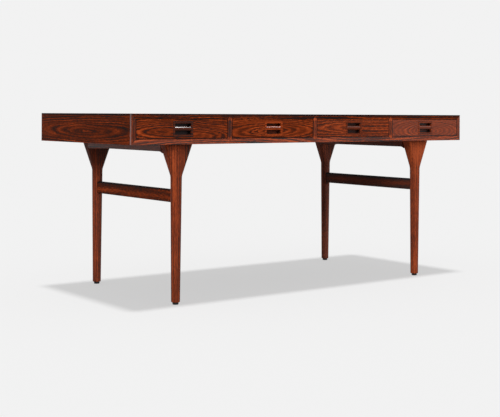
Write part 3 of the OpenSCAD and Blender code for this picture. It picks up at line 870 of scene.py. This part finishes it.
def board_finishes():
    """Veneers of the top, the ends, the back, the underside and the dividers."""
    ends = {"bands": 120, "tone": 0.50, "contrast": 0.85, "ink": 0.28, "rims": TOP_EDGE_PAINTED_LIGHT}
    finishes = {
        "top_panel": timber(
            "rosewood_top", ROSEWOOD, "x", "y", leaf=LEAF_W, hearts=((-0.25, 0.02), (0.55, 0.1)),
            level=TOP_Z, depth=0.03, stretch=9, bands=80, wander=0.02, tone=0.55, seed=2.3,
        ),
        "bottom_panel": timber(
            "rosewood_underside", ROSEWOOD, "x", "y", leaf=LEAF_W, hearts=((0.3, 0.05),),
            level=CASE_Z, depth=0.04, stretch=10, bands=70, wander=0.02, tone=0.50, sheen=0.03,
            seed=5.1,
        ),
        "left_end_panel": timber(
            "rosewood_left_end", ROSEWOOD, "y", "z", hearts=((-0.03, MID_Z - 0.0115),),
            level=-HALF_W, stretch=13, wander=0.013, sheen=0.006, seed=8.9, **ends,
        ),
        "right_end_panel": timber(
            "rosewood_right_end", ROSEWOOD, "y", "z", hearts=((0.10, MID_Z + 0.006),),
            level=HALF_W, stretch=12, wander=0.014, seed=11.2, **ends,
        ),
        "back_panel": timber(
            "rosewood_back", ROSEWOOD, "x", "z", hearts=((-0.35, MID_Z), (0.42, MID_Z - 0.01)),
            level=BACK_Y, depth=0.02, stretch=9, tone=0.52, seed=13.4,
        ),
    }
    for n in (1, 2, 3):
        finishes[f"divider_{n}"] = timber(
            f"rosewood_divider_{n}", ROSEWOOD, "y", "z", hearts=((0.05 * n, MID_Z),),
            stretch=7, tone=0.46, seed=40.0 + n,
        )
    return finishes


def lipping_finishes():
    """Solid wood of the lippings along and between the boards."""
    upright = {
        "hearts": ((MID_Z, -HALF_W - UPRIGHT_HEART),), "stretch": 20, "wander": 0.004,
        "rims": TOP_EDGE_PAINTED_LIGHT,
    }
    # The left front lipping's outer side is painted lighter, as a painted highlight on its arris, with a
    # clear coat over it
    painted_arris_highlight = {**upright, "rims": (*TOP_EDGE_PAINTED_LIGHT, (*span("x", -HALF_W, 0.003, 0.001), 0.15))}
    pointed = {
        **upright, "hearts": ((MID_Z, -0.5),),
        "rims": (
            FIRST_DIVIDER,
            (*span("z", TOP_Z, -POINTS_BEGIN, -POINTS_LIGHT), 0.45),
            (*span("z", CASE_Z, POINTS_BEGIN, POINTS_LIGHT), 0.45),
        ),
    }
    plain_upright = timber(
        "rosewood_upright_lippings", ROSEWOOD, "z", "x", level=FRONT_Y, tone=0.50, sheen=0.22,
        seed=31.4, **upright,
    )
    return {
        "top_front_lipping": timber(
            "rosewood_top_lipping", ROSEWOOD, "x", "z", hearts=((0.0, TOP_Z - 0.10),),
            level=FRONT_Y, stretch=40, wander=0.010, bands=140, tone=0.42, contrast=1.3, sheen=0.0,
            seed=17.9, rims=TOP_EDGE_PAINTED_LIGHT,
        ),
        # A little grey painted sheen lies in the colour of the bottom front lipping
        "bottom_front_lipping": timber(
            "rosewood_bottom_lipping", with_painted_sheen(ROSEWOOD, 0.010), "x", "z",
            hearts=((-0.50, CASE_Z - 0.03), (0.40, CASE_Z + 0.06)), level=FRONT_Y, stretch=9,
            wander=0.012, jag=0.003, bands=125, tone=0.68, contrast=1.25, ink=0.42, sheen=0.13,
            seed=27.3,
        ),
        "top_back_lipping": timber(
            "rosewood_top_back_lipping", ROSEWOOD, "x", "z", hearts=((0.2, TOP_Z - 0.10),),
            level=BACK_Y, stretch=40, wander=0.004, tone=0.45, seed=23.1, rims=TOP_EDGE_PAINTED_LIGHT,
        ),
        "bottom_back_lipping": timber(
            "rosewood_bottom_back_lipping", ROSEWOOD, "x", "z", hearts=((0.2, CASE_Z - 0.08),),
            level=BACK_Y, stretch=40, wander=0.004, tone=0.48, seed=29.0,
        ),
        "left_front_lipping": timber(
            "rosewood_worn_lipping", ROSEWOOD, "z", "x", level=FRONT_Y, tone=0.44, sheen=0.12,
            seed=33.4, lacquer=(span("x", -HALF_W, 0.0025, 0.001),), **painted_arris_highlight,
        ),
        "left_back_lipping": timber(
            "rosewood_dark_lipping", ROSEWOOD, "z", "x", level=BACK_Y, tone=0.18, sheen=0.15,
            seed=35.2, **upright,
        ),
        "right_front_lipping": plain_upright,
        "right_back_lipping": plain_upright,
        "divider_lippings": timber(
            "rosewood_divider_lippings", ROSEWOOD, "z", "x", level=FRONT_Y, tone=0.56, sheen=0.13,
            seed=37.0, **pointed,
        ),
    }


def rail_finish(part, side):
    """Wood of a stretcher, with painted shade along its top, or of a bearer."""
    node = f"{side}_{part}"
    given = dict(STRETCHERS[side] if part == "stretcher" else BEARERS[side])
    palette = with_painted_sheen(ROSEWOOD, given.pop("painted_sheen"))
    if part == "bearer":
        return timber(f"rosewood_{node}", palette, "y", "x", stretch=12, **given)
    painted_top_shade = (*span("z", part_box(node)[1].z, -0.009, -0.004), -0.50)
    return timber(f"rosewood_{node}", palette, "y", "z", stretch=14, rims=(painted_top_shade,), **given)


def dress_case():
    """Finishes of the case and its inner fittings, and the rails under it."""
    finishes = {**board_finishes(), **lipping_finishes()}
    beech = timber(
        "beech_fittings", BEECH, "y", "z", hearts=((0.0, 0.5),), stretch=20,
        bands=120, ink=0.05, contrast=0.5, mottle=0.3, sheen=0.15, gloss=0.6, seed=70.0,
    )
    for node in ("left_runners", "right_runners", "drawer_stops", "mitre_splines", "bearer_dowels"):
        finishes[node] = beech
    for side, _ in SIDES:
        for part, slot, ease in RAILS:
            node = f"{side}_{part}"
            eased(node, f"{node}_rail", rail_finish(part, side), ease)
    for node, material in finishes.items():
        mesh = NODES[node].data
        mesh.materials.clear()
        mesh.materials.append(material)


# Where the rings of each drawer front close, from its middle along and up, and how it looks
FRONTS = {
    1: {"hearts": ((-0.092, -0.014), (0.060, -0.031)), "stretch": 5.0, "tone": 0.555,
        "sheen": 0.02, "seed": 103.0},
    2: {"hearts": ((-0.015, -0.010),), "stretch": 7.0, "wander": 0.013, "tone": 0.65,
        "contrast": 0.8, "ink": 0.25, "sheen": 0.01, "seed": 115.0},
    3: {"hearts": ((0.165, 0.000),), "stretch": 14.0, "depth": 0.012, "tone": 0.615,
        "contrast": 0.85, "sheen": 0.06, "seed": 129.0},
    4: {"hearts": ((0.02, -0.012),), "stretch": 4.5, "tone": 0.69, "contrast": 0.5,
        "ink": 0.14, "sheen": 0.22, "seed": 139.0},
}
FRONT_GLOSS = 0.33
# How light each pull is, how far its recess is painted dark as painted shade, and how strongly it shines
PULLS = {
    1: {"tone": 0.30, "recess": -0.90, "sheen": 0.06, "seed": 157.0},
    2: {"tone": 0.80, "recess": -0.45, "sheen": 0.03, "seed": 164.0},
    3: {"tone": 0.57, "recess": -0.45, "sheen": 0.07, "seed": 171.0},
    4: {"tone": 0.58, "recess": -0.45, "sheen": 0.16, "seed": 178.0},
}
# Height at which the rounding of a pull's bar begins, which is where its polish shows
BAR_Z = 0.6890
# Oak of the drawers behind their fronts, and of their bottoms
PLAIN_OAK = {
    "depth": 0.05, "stretch": 16, "bands": 170, "wander": 0.006, "ink": 0.08, "contrast": 0.7,
    "mottle": 0.3, "sheen": 0.15, "gloss": 0.5,
}
BOTTOM_OAK = {**PLAIN_OAK, "bands": 90, "stretch": 7}


def front_finish(n):
    """Rosewood of a drawer's front, with painted shade along its sides and its lower edge by the gaps
    round it.
    """
    low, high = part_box(f"drawer_{n}_front")
    centre = (low + high) / 2
    given = dict(FRONTS[n])
    painted_gap_shade = (
        (*span("x", low.x, 0.0030, 0.0015), -0.4),
        (*span("x", high.x, -0.0030, -0.0015), -0.4),
        (*span("z", low.z, 0.0035, 0.0020), -0.5),
    )
    hearts = tuple((centre.x + x, centre.z + z) for x, z in given.pop("hearts"))
    return timber(
        f"rosewood_front_{n}", ROSEWOOD, "x", "z", hearts=hearts, level=FRONT_Y,
        gloss=FRONT_GLOSS, rims=painted_gap_shade, **given,
    )


def pull_finish(n):
    """Rosewood of a pull, painted dark in its recess as painted shade, and polished on the round of its
    bar.
    """
    centre = middle(f"drawer_{n}_front")
    given = dict(PULLS[n])
    painted_recess_shade = (*span("y", FRONT_Y, 0.005, 0.009), given.pop("recess"))
    polish = (
        span("y", FRONT_Y, 0.0002, 0.0005), span("y", FRONT_Y, 0.008, 0.006),
        span("z", BAR_Z, -0.001, 0.001), span("z", BAR_Z, 0.008, 0.007),
    )
    return timber(
        f"rosewood_pull_{n}", ROSEWOOD, "x", "z", hearts=((centre.x, centre.z - 0.09),),
        level=FRONT_Y, stretch=20, wander=0.003, bands=90, ink=0.2, contrast=0.6,
        rims=(painted_recess_shade,), lacquer=polish, **given,
    )


def dress_drawer(n):
    """Front and pull in rosewood, and the box behind them in oak. Gives the pull."""
    centre = middle(f"drawer_{n}_front")

    def board(part, name, material, ease=BOARD_EASE):
        """One board of the drawer."""
        return eased(f"drawer_{n}_{part}", f"drawer_{n}_{part}_{name}", material, ease)

    board("front", "board", front_finish(n))
    pull = board("pull", "block", pull_finish(n), PULL_EASE)
    sides = timber(
        f"oak_sides_{n}", OAK, "y", "z", hearts=((0.1, 0.5),), seed=160.0 + n, **PLAIN_OAK
    )
    across = timber(
        f"oak_back_{n}", OAK, "x", "z", hearts=((centre.x, 0.5),), seed=170.0 + n, **PLAIN_OAK
    )
    bottom = timber(
        f"oak_bottom_{n}", OAK, "x", "y", hearts=((centre.x, 0.0),), level=CASE_Z,
        seed=180.0 + n, **BOTTOM_OAK,
    )
    for side, _ in SIDES:
        board(f"{side}_side", "board", sides)
    board("back", "board", across)
    board("bottom", "board", bottom, THIN_EASE)
    return pull


# How light each leg is; how much lighter its head and its right side are painted, as painted light and
# shade; and how much grey painted sheen it has
LEG_WOOD = {
    "front_left": {"tone": 0.75, "head": 0.04, "right": -0.26, "painted_sheen": 0.006},
    "front_right": {"tone": 0.76, "head": 0.30, "right": 0.04, "painted_sheen": 0.007},
    "back_left": {"tone": 0.68, "head": -0.20, "right": -0.24, "painted_sheen": 0.009},
    "back_right": {"tone": 0.60, "head": 0.08, "right": -0.20, "painted_sheen": 0.020},
}
# How far to the side of each leg the heart of its tree lies, and which tree it is
LEG_TREES = {
    "front_left": (-0.12, 200.0),
    "front_right": (-0.11, 213.0),
    "back_left": (-0.10, 226.0),
    "back_right": (-0.09, 239.0),
}
# How far the hearts lie behind the legs, and how high they are
HEART_BEHIND = 0.06
HEART_Z = 0.75


def leg_finish(name):
    """Rosewood of a leg, with painted light and shade towards its head and its right side, and a painted
    shadow of the case at its top.
    """
    node = name + "_leg"
    centre = middle(node)
    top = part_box(node)[1].z
    wood = LEG_WOOD[name]
    aside, seed = LEG_TREES[name]
    return timber(
        f"rosewood_{node}", with_painted_sheen(ROSEWOOD, wood["painted_sheen"]), "z", "x",
        hearts=((HEART_Z, centre.x + aside),), level=centre.y + HEART_BEHIND, stretch=24,
        wander=0.004, jag=0.002, tone=wood["tone"], contrast=0.8, ink=0.2, sheen=0.03, seed=seed,
        # Painted light and shade across the leg and up its head, and a painted shadow of the case at the
        # top of the head
        rims=(
            (*span("x", centre.x, -0.010, 0.014), wood["right"]),
            (*span("z", top, -0.13, -0.05), wood["head"]),
            (*span("z", top, -0.005, -0.001), -0.4),
        ),
    )


def dress_legs():
    """Four turned legs in place of the faceted ones."""
    shape = leg_shape()
    for name in LEGS:
        node = name + "_leg"
        low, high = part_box(node)
        centre = middle(node)
        mesh = shape.made(
            node, Place=(centre.x, centre.y, 0.0), Top_diameter=high.y - low.y,
            Head_width=high.x - low.x, Foot_height=low.z, Top_height=high.z,
            Wood=leg_finish(name), **LEG,
        )
        placed(node + "_turned", smoothed(mesh), "case", node)


# Sizes of a floor glide in metres, its sides, and the facets of its rolled edge
GLIDE_RADIUS = 0.012
GLIDE_HEIGHT = 0.009
GLIDE_ROLL = 0.0025
GLIDE_SIDES = 72
ROLL_FACETS = 8


def turned(profile, places, sides):
    """Round pieces turned from one profile of radius and height, standing at several places."""
    shape = bmesh.new()
    for place in places:
        rings = []
        for radius, height in profile:
            ring = []
            for k in range(sides):
                a = 2 * math.pi * k / sides
                x = place.x + radius * math.cos(a)
                y = place.y + radius * math.sin(a)
                ring.append(shape.verts.new((x, y, height)))
            rings.append(ring)
        for below, above in zip(rings, rings[1:]):
            for k in range(sides):
                n = (k + 1) % sides
                shape.faces.new((below[k], below[n], above[n], above[k]))
        shape.faces.new(rings[0][::-1])
        shape.faces.new(rings[-1])
    return shape


def dress_glides():
    """Four black nylon glides, each a low disc with a rolled lower edge."""
    flat = GLIDE_RADIUS - GLIDE_ROLL
    profile = [(flat, 0.0)]
    for k in range(1, ROLL_FACETS + 1):
        a = math.radians(-90 + 90 * k / ROLL_FACETS)
        profile.append((flat + GLIDE_ROLL * math.cos(a), GLIDE_ROLL + GLIDE_ROLL * math.sin(a)))
    profile.append((GLIDE_RADIUS, GLIDE_HEIGHT))
    places = [middle(name + "_leg") for name in LEGS]
    mesh = plain_mesh("floor_glide_domes", turned(profile, places, GLIDE_SIDES))
    name = "floor_glide_domes"
    placed(name, smoothed(mesh), "case", "floor_glides", black_nylon())


# Sizes of the screws, in metres
BEARER_SCREW = {
    "Head_diameter": 0.012, "Head_height": 0.004, "Shank_diameter": 0.006,
    "Slot_width": 0.0012, "Slot_depth": 0.0015,
}
RUNNER_SCREW = {
    "Head_diameter": 0.007, "Head_height": 0.0025, "Shank_diameter": 0.0035,
    "Shank_length": 0.0145, "Slot_width": 0.0009, "Slot_depth": 0.0009,
}
SCREWS_IN_A_ROW = 3
# Gap beside a drawer's front, thickness of a runner, and turn of the slots from bay to bay
FRONT_GAP = 0.0015
RUNNER_THICKNESS = 0.009
SLOT_TURN = 0.4


def dress_screws():
    """Slotted screws under the bearers and in the runners, in place of the plain ones."""
    steel = zinc_steel()
    shape = slotted_screw_shape()

    def row(node, sizes, x, z, turn):
        """A row of screws from the front to the back of their node's box."""
        low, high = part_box(node)
        radius = sizes["Head_diameter"] / 2
        return shape.made(
            node + "_row", Count=SCREWS_IN_A_ROW, Step=(0.0, (high.y - low.y) / 2 - radius, 0.0),
            Start=(x, low.y + radius, z), Turn=turn, Metal=steel, **sizes,
        )

    def place_rows(node, rows):
        """Puts the rows of a node in the scene as one piece."""
        whole = bmesh.new()
        for mesh in rows:
            whole.from_mesh(mesh)
        mesh = plain_mesh(node + "_slotted", whole, steel)
        placed(node + "_slotted", smoothed(mesh), "case", node)

    low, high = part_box("bearer_screws")
    sizes = {**BEARER_SCREW, "Shank_length": high.z - low.z - BEARER_SCREW["Head_height"]}
    radius = BEARER_SCREW["Head_diameter"] / 2
    upright = (0.0, 0.0, 0.0)
    place_rows("bearer_screws", [
        row("bearer_screws", sizes, x, low.z, upright) for x in (low.x + radius, high.x - radius)
    ])

    height = middle("runner_screws").z
    rows = []
    for _, sign in SIDES:
        for n in DRAWERS:
            front_low, front_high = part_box(f"drawer_{n}_front")
            wall = (front_low.x if sign < 0 else front_high.x) + sign * FRONT_GAP
            face = wall - sign * RUNNER_THICKNESS
            turn = (SLOT_TURN * n, sign * math.pi / 2, 0.0)
            rows.append(row("runner_screws", RUNNER_SCREW, face, height, turn))
    place_rows("runner_screws", rows)


photo_camera()
pale_room()
floor = pale_floor()
for name, given in LAMPS.items():
    lamp(name, floor, **given)
dress_case()
pulls = {n: dress_drawer(n) for n in DRAWERS}
for n, given in GLINTS.items():
    glint_lamp(f"glint_lamp_{n}", pulls[n], **given)
dress_legs()
dress_glides()
dress_screws()
